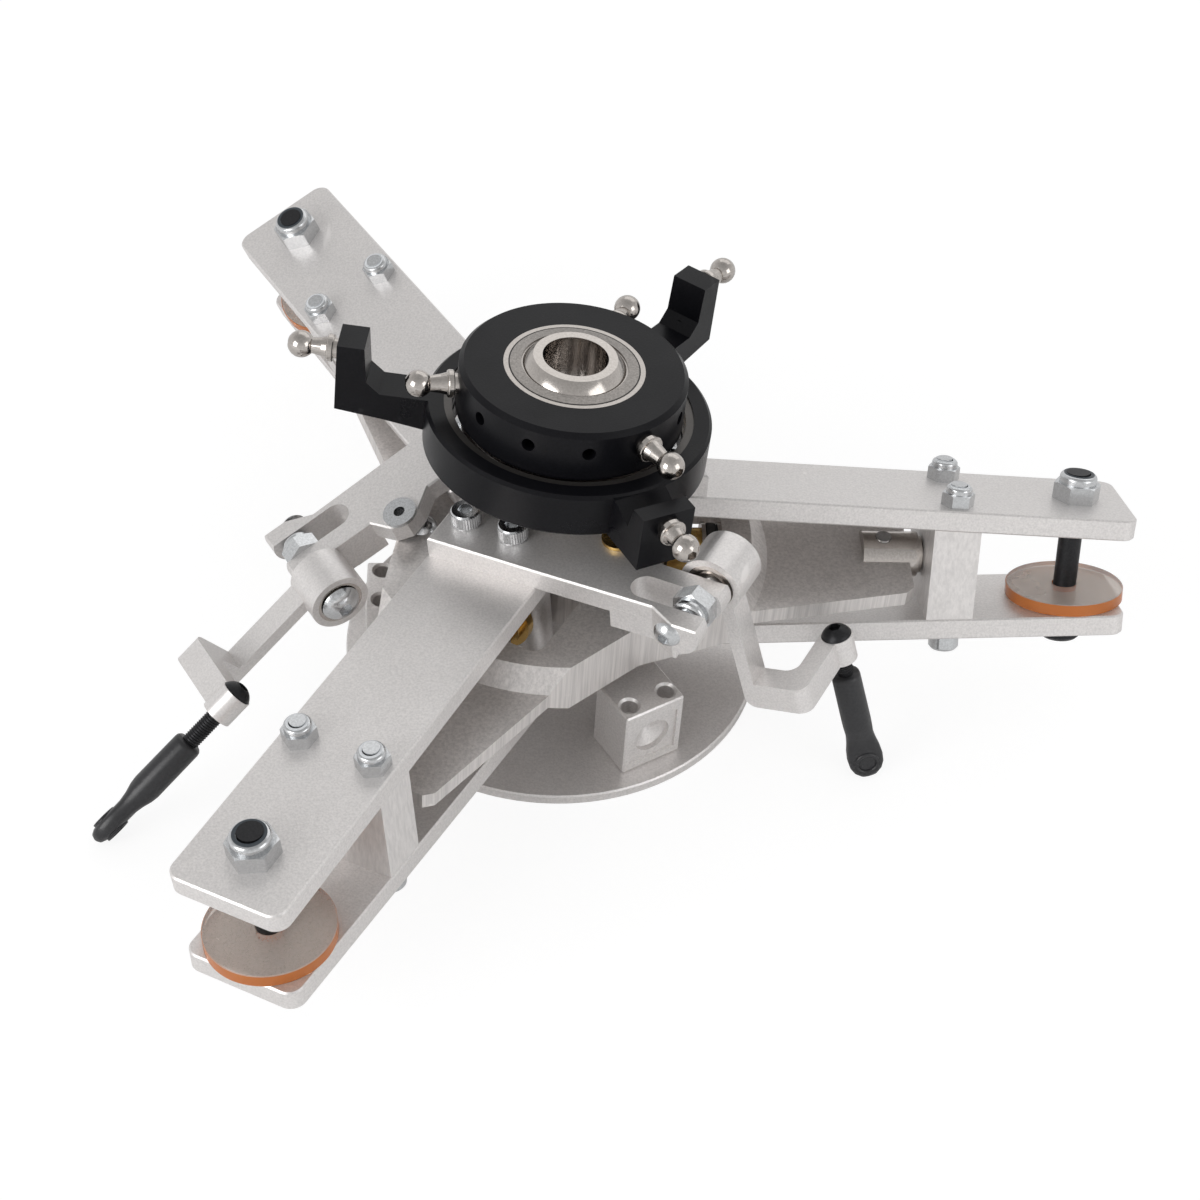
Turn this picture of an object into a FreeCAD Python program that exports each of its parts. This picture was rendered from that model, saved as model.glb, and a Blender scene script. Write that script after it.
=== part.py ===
import FreeCAD, Part
import math
import os

# Three-bladed helicopter rotor hub with its swashplate laid on top, as in the photograph.
# Millimetres, Z up, the mast axis on Z and the underside of the base disc at zero.

os.makedirs("parts", exist_ok=True)
V = FreeCAD.Vector

# Whole hub
MAST_R = 6.0
ARM_ANGLES = {"a": 240.0, "b": 0.0, "c": 120.0}
AXIS_HEIGHT = 28.0
# Pitch of each blade grip and swing of each link lever, as photographed
PITCH = {"a": 6.0, "b": -21.6, "c": -22.0}
SWING = {"a": 13.4, "b": 73.0, "c": 73.4}
RUN = 0.05
GAP = 0.3
SEAT = 0.05

# Base disc, column and blocks
DISC_R = 41.0
DISC_T = 2.3
COLUMN_R = 13.0
BLOCK_W = 12.8
BLOCK_OUT = 36.8
BLOCK_IN = 26.0
BLOCK_H = 15.0
BLOCK_PITCH = 8.1
BLOCK_HOLE_R = 1.65

# Where the spacer and the blade bolt stand along an arm
SCREW_RADIUS = 75.36
SPACER_IN = SCREW_RADIUS - 4.52
SPACER_OUT = SCREW_RADIUS + 4.44
PAD_R = 11.4
BLADE_RADIUS = SPACER_OUT + PAD_R + 8.8
PLATE_OUT = BLADE_RADIUS + 9.3

# Sandwich of star plate and two boss plates
STAR_T = 3.2
BOSS_T = 3.8
BOSS_R = 40.5
BOSS_R_TOP = 37.1
NOTCH_R = 30.0
ARM_TIP = SPACER_IN - 2.84
ARM_TIP_W = 12.5
ARM_ROOT = 35.4
ARM_ROOT_W = 18.4
WINDOW_IN = 13.0
WINDOW_OUT = 31.5
WINDOW_W = 13.3
RIB_SCREW_R = 26.0

# Feathering bearings along each arm
SPINDLE_R = 3.0
BELL_R = 6.4
DAMPER_R = 5.6
PIVOT_R = 4.4
PIVOT_IN = ARM_TIP - 9.0
PIVOT_SCREW = PIVOT_IN + 4.0
PIVOT_END = ARM_TIP + 1.8
JOURNAL_R = 2.75

# Blade grip
PLATE_T = 4.1
PLATE_GAP = 12.1
PLATE_TILT = 2.35
PLATE_W = 11.25
PLATE_IN = 13.0
PILLAR_IN = 13.5
PILLAR_OUT = 20.5
SCREW_T = 7.36
BLADE_BOLT_R = 2.25
PAD_T = 2.5

# Pitch horn and link lever
HORN_T = 4.2
PIVOT_T = 40.2
PIVOT_H = 17.24
LEVER_R = 5.8
LEVER_IN = 5.85
LEVER_OUT = 14.85
LEVER_DROP = 22.3
LEVER_T = 5.5
BEARING_R = 4.5
BEARING_W = 4.0
PIN_R = 2.0
ROD_T = {"a": 31.5, "b": 35.1, "c": 35.1}

# Swashplate, measured down from its top face
SWASH_BASE = (0.352, 0.361, 53.69)
SWASH_AXIS = (0.0576, 0.0614, 0.9965)
SWASH_H = 18.2
OUTER_R = 26.4
OUTER_TOP = 9.4
RECESS_R = 21.3
RECESS_D = 3.9
INNER_R = 20.9
NECK_R = 18.0
BALL_R = 11.1
BALL_W = 16.0
BALL_DEPTH = 6.0
RACE_R = 12.9
SEAT_R = 23.0


def place(base=(0, 0, 0), axis=(0, 0, 1), angle=0.0):
    return FreeCAD.Placement(V(*base), FreeCAD.Rotation(V(*axis), angle))


def moved(shape, where):
    s = shape.copy()
    s.Placement = where.multiply(s.Placement)
    return s


def box(x0, x1, y0, y1, z0, z1):
    return Part.makeBox(x1 - x0, y1 - y0, z1 - z0, V(x0, y0, z0))


def bar(r, x0, x1, y=0.0, z=0.0):
    return Part.makeCylinder(r, x1 - x0, V(x0, y, z), V(1, 0, 0))


def post(r, x, y, z0, z1):
    return Part.makeCylinder(r, z1 - z0, V(x, y, z0), V(0, 0, 1))


def prism(points, z0, z1):
    ring = [V(x, y, z0) for x, y in points]
    ring.append(ring[0])
    return Part.Face(Part.makePolygon(ring)).extrude(V(0, 0, z1 - z0))


def polar(r, degrees):
    a = math.radians(degrees)
    return r * math.cos(a), r * math.sin(a)


def upright(shape, test):
    # Straight edges along Z that stand where the test says
    found = []
    for edge in shape.Edges:
        a = edge.Vertexes[0].Point
        b = edge.Vertexes[-1].Point
        if abs(a.x - b.x) < 1e-6 and abs(a.y - b.y) < 1e-6 and abs(a.z - b.z) > 0.5:
            if test(a.x, a.y):
                found.append(edge)
    return found


def round_corners(shape, r, test):
    return shape.makeFillet(r, upright(shape, test))


def break_rims(shape, size, levels):
    # Small bright chamfers round the rims that lie at the given heights
    rims = []
    for edge in shape.Edges:
        low = edge.BoundBox.ZMin
        high = edge.BoundBox.ZMax
        for level in levels:
            if abs(low - level) < 1e-4 and abs(high - level) < 1e-4:
                rims.append(edge)
    return shape.makeChamfer(size, rims)


def hexagon(across, z0, z1):
    r = across / math.sqrt(3.0)
    return prism([polar(r, 60 * i) for i in range(6)], z0, z1)


def group(shapes):
    return Part.makeCompound(shapes)


def save(shape, name):
    shape.exportStep("parts/" + name + ".step")


def dome_screw(head_r, head_h, shank_r, length, key=0.0):
    # Seat at zero, head upward, shank downward
    ball_r = (head_r * head_r + head_h * head_h) / (2 * head_h)
    head = post(head_r, 0, 0, 0, head_h)
    head = head.common(Part.makeSphere(ball_r, V(0, 0, head_h - ball_r)))
    screw = head
    if length:
        screw = head.fuse(post(shank_r, 0, 0, -length, 0.0))
    if key:
        screw = screw.cut(hexagon(key, head_h * 0.4, head_h + 1))
    return screw


def flat_screw(head_r, shank_r, length):
    # Countersunk head flush at zero, screw pointing upward
    cone = Part.makeCone(head_r, shank_r, head_r - shank_r, V(0, 0, 0), V(0, 0, 1))
    screw = cone.fuse(post(shank_r, 0, 0, 0, length))
    return screw.cut(hexagon(head_r * 0.7, -1, 1.0))


def hub(name):
    return place((0, 0, AXIS_HEIGHT), (0, 0, 1), ARM_ANGLES[name])


def grip(name):
    return hub(name).multiply(place((0, 0, 0), (1, 0, 0), PITCH[name]))


def lever(name):
    at = place((0, PIVOT_T, PIVOT_H), (1, 0, 0), SWING[name])
    return grip(name).multiply(at)


def spun(shape, angles):
    return [moved(shape, place((0, 0, 0), (0, 0, 1), a)) for a in angles]


ARMS = sorted(ARM_ANGLES.values())
RIBS = [a + 60.0 for a in ARMS]
STAR_HALF = STAR_T / 2
STACK_HALF = STAR_HALF + BOSS_T
COLUMN_TOP = AXIS_HEIGHT - STACK_HALF
COLUMN_SCREW_R = 9.5
BLOCK_SCREW_R = 30.0

# Base disc with the mast bore and countersinks from below
disc = break_rims(post(DISC_R, 0, 0, 0, DISC_T), 0.3, [0, DISC_T])
disc = disc.cut(post(MAST_R, 0, 0, -1, DISC_T + 1))
for angle in RIBS:
    for radius, head, shank in ((COLUMN_SCREW_R, 3.0, 1.5), (BLOCK_SCREW_R, 3.8, 2.0)):
        x, y = polar(radius, angle)
        sink = Part.makeCone(head + SEAT, shank + SEAT, head - shank, V(x, y, 0), V(0, 0, 1))
        disc = disc.cut(sink).cut(post(shank + SEAT, x, y, -1, DISC_T + 1))
save(disc, "base_disc")

# Three square blocks with tapped holes, on the disc between the arms
HOLE_X = BLOCK_OUT - 3.0
block = box(BLOCK_IN, BLOCK_OUT, -BLOCK_W / 2, BLOCK_W / 2, DISC_T, DISC_T + BLOCK_H)
block = block.makeChamfer(0.3, block.Edges)
FACE_Z = DISC_T + BLOCK_H * 0.47
frame_in = BLOCK_W / 2 - 1.3
panel = box(BLOCK_OUT - 0.5, BLOCK_OUT + 1, -frame_in, frame_in, FACE_Z - frame_in, FACE_Z + frame_in)
block = block.cut(panel)
block = block.cut(bar(3.75, BLOCK_OUT - 1.6, BLOCK_OUT + 1, 0, FACE_Z))
tip = Part.makeCone(3.75, 0.3, 1.6, V(BLOCK_OUT - 1.6, 0, FACE_Z), V(-1, 0, 0))
block = block.cut(tip)
TOP_Z = DISC_T + BLOCK_H
for side in (-1, 1):
    y = side * BLOCK_PITCH / 2
    block = block.cut(post(BLOCK_HOLE_R, HOLE_X, y, TOP_Z - 3.6, TOP_Z + 1))
    rim = Part.makeCone(BLOCK_HOLE_R, BLOCK_HOLE_R + 0.45, 0.45, V(HOLE_X, y, TOP_Z - 0.45))
    block = block.cut(rim)
block = block.cut(post(2.0 + SEAT, BLOCK_SCREW_R, 0, DISC_T - 1, DISC_T + 7.5))
save(group(spun(block, RIBS)), "hub_blocks")

# Round column that clamps the mast below the sandwich
column = break_rims(post(COLUMN_R, 0, 0, DISC_T, COLUMN_TOP), 0.4, [DISC_T, COLUMN_TOP])
column = column.cut(post(MAST_R, 0, 0, 0, COLUMN_TOP + 1))
for angle in RIBS:
    x, y = polar(COLUMN_SCREW_R, angle)
    column = column.cut(post(1.5 + SEAT, x, y, 0, COLUMN_TOP + 1))
column = column.cut(bar(1.65, 0, COLUMN_R + 1, 0, (DISC_T + COLUMN_TOP) / 2))
save(column, "hub_column")

# Outline shared by the star plate and, between the arms, by the boss plates
outline = []
for angle in ARMS:
    for x, y in (
        (ARM_ROOT, -ARM_ROOT_W),
        (ARM_TIP - 1.6, -ARM_TIP_W),
        (ARM_TIP, -ARM_TIP_W + 1.6),
        (ARM_TIP, ARM_TIP_W - 1.6),
        (ARM_TIP - 1.6, ARM_TIP_W),
        (ARM_ROOT, ARM_ROOT_W),
    ):
        r = math.hypot(x, y)
        outline.append(polar(r, angle + math.degrees(math.atan2(y, x))))
    outline.append(polar(NOTCH_R, angle + 60.0))

window = box(WINDOW_IN, WINDOW_OUT, -WINDOW_W, WINDOW_W, -9, 9)
window = round_corners(window, 2.5, lambda x, y: True)
windows = spun(window, ARMS)
spindle_holes = spun(bar(SPINDLE_R + SEAT, WINDOW_OUT - 5, 37.5), ARMS)
rib_holes = []
column_holes = []
for angle in RIBS:
    x, y = polar(RIB_SCREW_R, angle)
    rib_holes.append(post(1.5 + SEAT, x, y, -9, 9))
    x, y = polar(COLUMN_SCREW_R, angle)
    column_holes.append(post(1.5 + SEAT, x, y, -9, STAR_HALF + 1.0))


def opened(shape):
    for tool in windows + spindle_holes + rib_holes + column_holes:
        shape = shape.cut(tool)
    return shape.cut(post(MAST_R, 0, 0, -9, 9))


star = prism(outline, -STAR_HALF, STAR_HALF)
star = opened(star)
for pad in spun(post(1.5 + SEAT, PIVOT_SCREW, 0, -9, 9), ARMS):
    star = star.cut(pad)
lift = place((0, 0, AXIS_HEIGHT))
save(moved(star, lift), "star_plate")

# Two equal boss plates, one above and one below the star plate
boss = prism(outline, STAR_HALF, STACK_HALF)
cone = Part.makeCone(BOSS_R, BOSS_R_TOP, BOSS_T, V(0, 0, STAR_HALF), V(0, 0, 1))
boss = boss.common(cone)
lower = moved(boss, place((0, 0, 0), (1, 0, 0), 180.0))
boss = opened(boss)
lower = opened(lower)
save(moved(group([boss, lower]), lift), "boss_plates")

# Screws of the hub body: column, blocks, ribs and the outer pivots
screws = []
long_screw = flat_screw(3.0, 1.5, AXIS_HEIGHT + STAR_HALF)
short_screw = flat_screw(3.8, 2.0, DISC_T + 6.5)
for angle in RIBS:
    x, y = polar(COLUMN_SCREW_R, angle)
    screws.append(moved(long_screw, place((x, y, 0))))
    x, y = polar(BLOCK_SCREW_R, angle)
    screws.append(moved(short_screw, place((x, y, 0))))
    x, y = polar(RIB_SCREW_R, angle)
    rib = dome_screw(2.85, 1.65, 1.5, 2 * STACK_HALF - 0.8, 2.0)
    screws.append(moved(rib, place((x, y, AXIS_HEIGHT + STACK_HALF))))
for name in "abc":
    flip = hub(name).multiply(place((PIVOT_SCREW, 0, -STAR_HALF), (1, 0, 0), 180.0))
    screws.append(moved(dome_screw(2.85, 1.65, 1.5, STAR_T + 3.0, 2.0), flip))
save(group(screws), "hub_screws")

# Outer pivots with a flat seat on the arm and a journal in the grip
pivot = bar(PIVOT_R, PIVOT_IN, PIVOT_END)
pivot = pivot.cut(box(PIVOT_IN - 1, ARM_TIP, -9, 9, -9, STAR_HALF))
pivot = pivot.fuse(bar(3.6, PIVOT_END, SPACER_IN - GAP))
pivot = pivot.fuse(bar(JOURNAL_R, PIVOT_END, SPACER_OUT - 0.7))
pivot = pivot.cut(post(1.5 + SEAT, PIVOT_SCREW, 0, -1, PIVOT_R + 1))
save(group([moved(pivot, hub(n)) for n in "abc"]), "outer_pivots")

# Inner spindles with a round head
HEAD_IN = PILLAR_IN + 0.2
HEAD_OUT = HEAD_IN + 2.0
spindle = bar(SPINDLE_R, HEAD_IN, 37.0).fuse(bar(4.2, HEAD_IN, HEAD_OUT))
washer = bar(DAMPER_R, 27.6, 28.4).cut(bar(SPINDLE_R, 20, 37))
back = bar(DAMPER_R, 30.7, WINDOW_OUT).cut(bar(SPINDLE_R, 20, 37))
spindle_set = []
bells = []
rubbers = []
BELL_IN = PILLAR_OUT + 0.3
bell = bar(4.4, 24.4, 27.6).fuse(bar(5.2, 22.6, 24.4)).fuse(bar(BELL_R, BELL_IN, 22.6))
bell = bell.cut(bar(SPINDLE_R, 19, 30))
rubber = bar(DAMPER_R - 0.2, 28.4, 30.7).cut(bar(SPINDLE_R, 20, 37))
rubber = rubber.makeFillet(0.7, [e for e in rubber.Edges if e.Length > 25])
for name in "abc":
    for piece in (spindle, washer, back):
        spindle_set.append(moved(piece, hub(name)))
    bells.append(moved(bell, hub(name)))
    rubbers.append(moved(rubber, hub(name)))
save(group(spindle_set), "spindles")
save(group(bells), "thrust_bearings")
save(group(rubbers), "dampers")

# Shapes shared by the three grips
tilt_up = place((0, 0, 0), (0, 1, 0), PLATE_TILT)
tilt_down = place((0, 0, 0), (0, 1, 0), -PLATE_TILT)
turn_over = place((0, 0, 0), (1, 0, 0), 180.0)
GRIP_TOP = PLATE_GAP + PLATE_T
HORN_TOP = GRIP_TOP + HORN_T
above = moved(box(-20, PLATE_OUT + 20, -60, 60, PLATE_GAP, 40), tilt_up)
below = moved(box(-20, PLATE_OUT + 20, -60, 60, -40, -PLATE_GAP), tilt_down)


def seat_x(x, z):
    # Place along a tilted plate that stands at x, measured square to the blade axis
    a = math.radians(PLATE_TILT)
    return (x - z * math.sin(a)) / math.cos(a)


def on_top(shape, x, y, z):
    return moved(shape, tilt_up.multiply(place((seat_x(x, z), y, z))))


def on_low(shape, x, y, z):
    at = place((seat_x(x, z), y, -z), (1, 0, 0), 180.0)
    return moved(shape, tilt_down.multiply(at))


def nyloc(across, height, bore_r):
    # Hexagon with a rounded collar that holds the locking ring
    flat = height * 0.66
    wide = across / 2 * 1.03
    hull = Part.makeCone(wide + 1.73, wide, 1.0, V(0, 0, flat - 1.0), V(0, 0, 1))
    hull = hull.fuse(post(across, 0, 0, 0.0, flat - 0.95))
    body = hexagon(across, 0, flat).common(hull)
    collar = post(across * 0.45, 0, 0, flat * 0.5, height)
    collar = collar.makeFillet(height * 0.16, [collar.Edges[0]])
    body = body.fuse(collar)
    return body.cut(post(bore_r, 0, 0, -1, height + 1))


plate = box(PLATE_IN, PLATE_OUT, -PLATE_W, PLATE_W, PLATE_GAP, GRIP_TOP)
plate = round_corners(plate, 2.75, lambda x, y: x > SPACER_IN)
plate = round_corners(plate, 1.0, lambda x, y: x < SPACER_IN)
plate = break_rims(plate, 0.3, [PLATE_GAP, GRIP_TOP])
low_plate = moved(plate, tilt_down.multiply(turn_over))
top_plate = moved(plate, tilt_up)

# Where screws pass: two at the spacer, one for the blade, two under the pillar
SPACER_SPOTS = [(SCREW_RADIUS, -SCREW_T), (SCREW_RADIUS, SCREW_T)]
CAP_SPOTS = [(20.2, -6.6), (20.0, 3.2)]
LOW_SPOTS = [(17.0, -4.6), (17.0, 4.6)]
LOW_REACH = 8.5
CAP_REACH = HORN_T + PLATE_T + 5.0
for x, y in SPACER_SPOTS:
    hole = post(1.5 + SEAT, x, y, -30, 30)
    top_plate = top_plate.cut(hole)
    low_plate = low_plate.cut(hole)
blade_hole = post(BLADE_BOLT_R + 0.15, BLADE_RADIUS, 0, -30, 30)
top_plate = top_plate.cut(blade_hole)
low_plate = low_plate.cut(blade_hole)

spacer_w = PLATE_W - 0.2
spacer = box(SPACER_IN, SPACER_OUT, -spacer_w, spacer_w, -20, 20)
spacer = spacer.cut(above).cut(below)
spacer = spacer.cut(bar(JOURNAL_R + RUN, SPACER_IN - 10, SPACER_OUT + 10))
for x, y in SPACER_SPOTS:
    spacer = spacer.cut(post(1.5 + SEAT, x, y, -30, 30))

pillar = box(PILLAR_IN, PILLAR_OUT, -7.5, 7.5, -20, 20)
pillar = round_corners(pillar, 3.2, lambda x, y: True)
pillar = pillar.cut(above).cut(below)
pillar = pillar.cut(bar(SPINDLE_R + RUN, 0, 40))
pillar = pillar.cut(bar(4.2 + GAP, 0, HEAD_OUT + GAP))
for x, y in LOW_SPOTS:
    hole = on_low(post(1.5 + SEAT, 0, 0, -LOW_REACH - 0.5, 1), x, y, GRIP_TOP)
    pillar = pillar.cut(hole)
    low_plate = low_plate.cut(hole)

# Pitch horn: a flat arm screwed on the top plate, ending in a deeper fork
SLOT_IN = 19.35
SLOT_OUT = 24.8
FORK = [(14.6, 26.0), (25.6, 26.0), (25.3, 34.4), (28.0, 39.5), (28.0, 44.6), (14.6, 44.6)]
horn = prism([(13.8, -10.9), (26.5, -10.9), (26.0, 12.0), (25.3, 34.4), (28.0, 39.5),
              (28.0, 44.6), (14.6, 44.6), (14.6, 27.0), (10.5, 24.5), (9.2, 21.5),
              (10.5, 18.0), (13.8, 14.0)], GRIP_TOP, HORN_TOP)
horn = horn.fuse(prism(FORK, PLATE_GAP + 0.4, GRIP_TOP + 1.0)).removeSplitter()
horn = break_rims(horn, 0.3, [HORN_TOP])
horn = moved(horn, tilt_up)
slot = box(SLOT_IN, SLOT_OUT, 31.2, 60, 0, 40)
slot = slot.fuse(post((SLOT_OUT - SLOT_IN) / 2, (SLOT_IN + SLOT_OUT) / 2, 31.2, 0, 40))
horn = horn.cut(slot)
horn = horn.cut(box(0, LEVER_OUT + 0.35, 33.0, 60, 0, 40))
nose = bar(4.4, 0, 60, PIVOT_T, PIVOT_H)
horn = horn.cut(box(0, 60, PIVOT_T, PIVOT_T + 20, -5, 40).cut(nose))
horn = horn.cut(bar(PIN_R + SEAT, 0, SLOT_OUT - 1, PIVOT_T, PIVOT_H))
TAIL_T = 38.6
TAIL_H = 16.6
tail_z = TAIL_H + 28.0 * math.sin(math.radians(PLATE_TILT))
tail_at = tilt_up.multiply(place((28.0, TAIL_T, tail_z), (0, 1, 0), 90.0))
horn = horn.cut(moved(post(1.4 + SEAT, 0, 0, -4.5, 1), tail_at))
for x, y in CAP_SPOTS:
    hole = on_top(post(1.5 + SEAT, 0, 0, -CAP_REACH - 0.5, 1), x, y, HORN_TOP)
    horn = horn.cut(hole)
    top_plate = top_plate.cut(hole)
    pillar = pillar.cut(hole)
BUSH_AT = (12.9, 21.3)
bush_hole = on_top(post(1.8, 0, 0, -6, 6), BUSH_AT[0], BUSH_AT[1], HORN_TOP)
horn = horn.cut(bush_hole)
bush = post(3.3, 0, 0, 0, 0.7).fuse(post(1.8, 0, 0, -HORN_T, 0.3)).cut(post(1.1, 0, 0, -9, 9))
bush = on_top(bush, BUSH_AT[0], BUSH_AT[1], HORN_TOP)

# Screws of a grip: two through the spacer, two under the pillar, two caps on the horn
grip_set = []
dome = dome_screw(2.85, 2.0, 1.5, 0)
for x, y in SPACER_SPOTS:
    shank = post(1.5, x, y, -13.6, 17.4)
    grip_set.append(on_low(dome, x, y, GRIP_TOP).fuse(shank))
for x, y in LOW_SPOTS:
    grip_set.append(on_low(dome_screw(2.85, 1.65, 1.5, LOW_REACH, 2.0), x, y, GRIP_TOP))
cap = post(2.75, 0, 0, 0, 3.0)
cap = break_rims(cap, 0.25, [3.0])
cap = cap.fuse(post(1.5, 0, 0, -CAP_REACH, 0.5))
cap = cap.cut(hexagon(2.5, 1.4, 4))
for x, y in CAP_SPOTS:
    grip_set.append(on_top(cap, x, y, HORN_TOP))
grip_set.append(bush)

nuts = []
for x, y in SPACER_SPOTS:
    nuts.append(on_top(nyloc(5.5, 3.9, 1.5), x, y, GRIP_TOP).cut(post(1.5, x, y, 0, 40)))
big = on_top(nyloc(8.0, 5.2, BLADE_BOLT_R), BLADE_RADIUS, 0, GRIP_TOP)
nuts.append(big.cut(post(BLADE_BOLT_R, BLADE_RADIUS, 0, 0, 40)))

# Blade bolt with its round head under the low plate, and the pad it passes
bolt = on_low(dome_screw(4.0, 2.4, BLADE_BOLT_R, 0, 3.0), BLADE_RADIUS, 0, GRIP_TOP)
bolt = bolt.fuse(post(BLADE_BOLT_R, BLADE_RADIUS, 0, -12.7, 17.6))
pad = on_low(post(PAD_R, 0, 0, -PAD_T, 0), BLADE_RADIUS, 0, PLATE_GAP)
pad = pad.cut(blade_hole)

# Link lever: bearing hub, drop arm, foot and a side arm to the link screw
FOOT_LOW = -LEVER_DROP - LEVER_T
link = bar(LEVER_R, LEVER_IN, LEVER_OUT)
link = link.fuse(box(9.5, 14.5, 0.8, 3.4, -LEVER_DROP - 1, 0))
foot = box(9.5, 14.5, 0.8, 13.6, FOOT_LOW, -LEVER_DROP)
side = box(-2.3, 14.5, 9.6, 13.6, FOOT_LOW, -LEVER_DROP)
foot = foot.fuse(side).removeSplitter()
foot = round_corners(foot, 2.4, lambda x, y: (x > 14 and y > 13) or (8 < x < 10 and 9 < y < 10))
foot = foot.fuse(post(3.0, -2.3, 12.6, FOOT_LOW, -LEVER_DROP))
edge = [e for e in foot.Edges if abs(e.BoundBox.ZMin - FOOT_LOW) < 1e-4
        and abs(e.BoundBox.ZMax - FOOT_LOW) < 1e-4 and abs(e.BoundBox.YMax - 0.8) < 1e-4]
foot = foot.makeFillet(2.2, edge)
link = link.fuse(foot).removeSplitter()
ROD_X = -2.3
ROD_Y = 12.6
link = link.cut(post(1.5 + SEAT, ROD_X, ROD_Y, -40, 0))
link = link.cut(bar(BEARING_R, LEVER_IN - 1, LEVER_IN + BEARING_W))
link = link.cut(bar(BEARING_R, LEVER_OUT - BEARING_W, LEVER_OUT + 1))
link = link.cut(bar(BEARING_R - 1.0, LEVER_IN - 1, LEVER_OUT + 1))

rings = []
for x in (LEVER_IN, LEVER_OUT - BEARING_W):
    ring = bar(BEARING_R, x, x + BEARING_W).cut(bar(PIN_R + RUN, x - 1, x + BEARING_W + 1))
    ring = ring.cut(bar(3.7, x - 1, x + 0.3).cut(bar(3.0, x - 1, x + 1)))
    ring = ring.cut(bar(3.7, x + BEARING_W - 0.3, x + BEARING_W + 1).cut(bar(3.0, x, x + 9)))
    rings.append(ring)

# Pivot screw of the lever with its nut in the fork, and the tail screw of the fork
PIN_IN = LEVER_IN - GAP
pin = dome_screw(3.8, 2.2, PIN_R, SLOT_OUT - PIN_IN - 0.3, 2.5)
pin_at = place((PIN_IN, PIVOT_T, PIVOT_H), (0, 1, 0), -90.0)
pin = moved(pin, pin_at)
pin_nut = moved(nyloc(7.0, 4.8, PIN_R), place((SLOT_IN, PIVOT_T, PIVOT_H), (0, 1, 0), 90.0))
tail = moved(dome_screw(2.6, 1.5, 1.4, 3.5, 2.0), tail_at)
lever_pins = [pin, pin_nut, tail]


def link_rod(name):
    top = -ROD_T[name]
    rod = dome_screw(2.85, 1.9, 1.5, ROD_T[name] - LEVER_DROP + 9.0, 2.0)
    return moved(rod, place((ROD_X, ROD_Y, -LEVER_DROP)))


def ball_link(name):
    # Barrel, flat eye with a blind socket, turned off the lever's own axes
    barrel = post(2.7, 0, 0, -13.0, 0).fuse(Part.makeCone(2.0, 2.7, 2.0, V(0, 0, -15.0)))
    barrel = barrel.cut(post(1.5 + SEAT, 0, 0, -10.0, 1))
    eye = box(-1.7, 1.7, -3.3, 3.3, -21.8, -12.0)
    eye = eye.fuse(bar(3.3, -1.7, 1.7, 0, -21.8))
    body = barrel.fuse(eye).removeSplitter()
    body = body.cut(Part.makeSphere(2.5, V(-2.2, 0, -21.8)))
    turn = place((ROD_X, ROD_Y, -ROD_T[name]), (0, 0, 1), 37.0)
    return moved(body, turn)


for name in "abc":
    g = grip(name)
    v = lever(name)
    save(moved(top_plate, g), "grip_top_plate_" + name)
    save(moved(low_plate, g), "grip_bottom_plate_" + name)
    save(moved(spacer, g), "spacer_block_" + name)
    save(moved(pillar, g), "inner_block_" + name)
    save(moved(horn, g), "pitch_horn_" + name)
    save(moved(bolt, g), "blade_bolt_" + name)
    save(moved(group(grip_set), g), "grip_screws_" + name)
    save(moved(group(nuts), g), "grip_nuts_" + name)
    save(moved(pad, g), "blade_washer_" + name)
    save(moved(group(lever_pins), g), "lever_screw_" + name)
    save(moved(link, v), "link_lever_" + name)
    save(moved(group(rings), v), "lever_bearings_" + name)
    save(moved(link_rod(name), v), "link_rod_" + name)
    save(moved(ball_link(name), v), "ball_link_" + name)

# Swashplate: base point, tilted axis, heights counted up from its underside
normal = V(*SWASH_AXIS)
normal.normalize()
across = V(1, 0, 0) - normal * normal.x
across.normalize()
swash = FreeCAD.Placement(V(*SWASH_BASE), FreeCAD.Rotation(across, normal.cross(across), normal, "ZXY"))
RING_H = SWASH_H - OUTER_TOP
SEAT_TOP = RING_H - 0.3
BALL_Z = SWASH_H - BALL_DEPTH
RACE_LOW = SWASH_H - 12.0
NECK_LOW = RECESS_D + 0.2

race = post(RACE_R, 0, 0, RACE_LOW, SWASH_H).cut(Part.makeSphere(BALL_R + RUN, V(0, 0, BALL_Z)))
save(moved(race, swash), "swash_race")
ball = Part.makeSphere(BALL_R, V(0, 0, BALL_Z))
ball = ball.common(post(BALL_R + 1, 0, 0, SWASH_H + 2.0 - BALL_W, SWASH_H + 2.0))
ball = ball.cut(post(MAST_R, 0, 0, -1, 40))
save(moved(ball, swash), "swash_ball")

INNER_ANGLES = (66.5, 186.5, 306.5)
INNER_Z = SWASH_H - 4.0
inner = break_rims(post(INNER_R, 0, 0, SEAT_TOP, SWASH_H), 0.9, [SWASH_H])
inner = inner.fuse(post(NECK_R, 0, 0, NECK_LOW, SEAT_TOP))
inner = inner.cut(post(RACE_R, 0, 0, RACE_LOW, 40)).cut(post(11.8, 0, 0, 0, 40))
hole_bits = []
for i in range(12):
    hole = moved(bar(1.25, 16.6, INNER_R + 1, 0, INNER_Z), place((0, 0, 0), (0, 0, 1), 36.5 + 30 * i))
    hole_bits.append(hole)
for a in INNER_ANGLES:
    hole_bits.append(moved(bar(1.5, 16.6, INNER_R + 1, 0, INNER_Z), place((0, 0, 0), (0, 0, 1), a)))
for tool in hole_bits:
    inner = inner.cut(tool)
save(moved(inner, swash), "swash_inner_ring")


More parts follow.
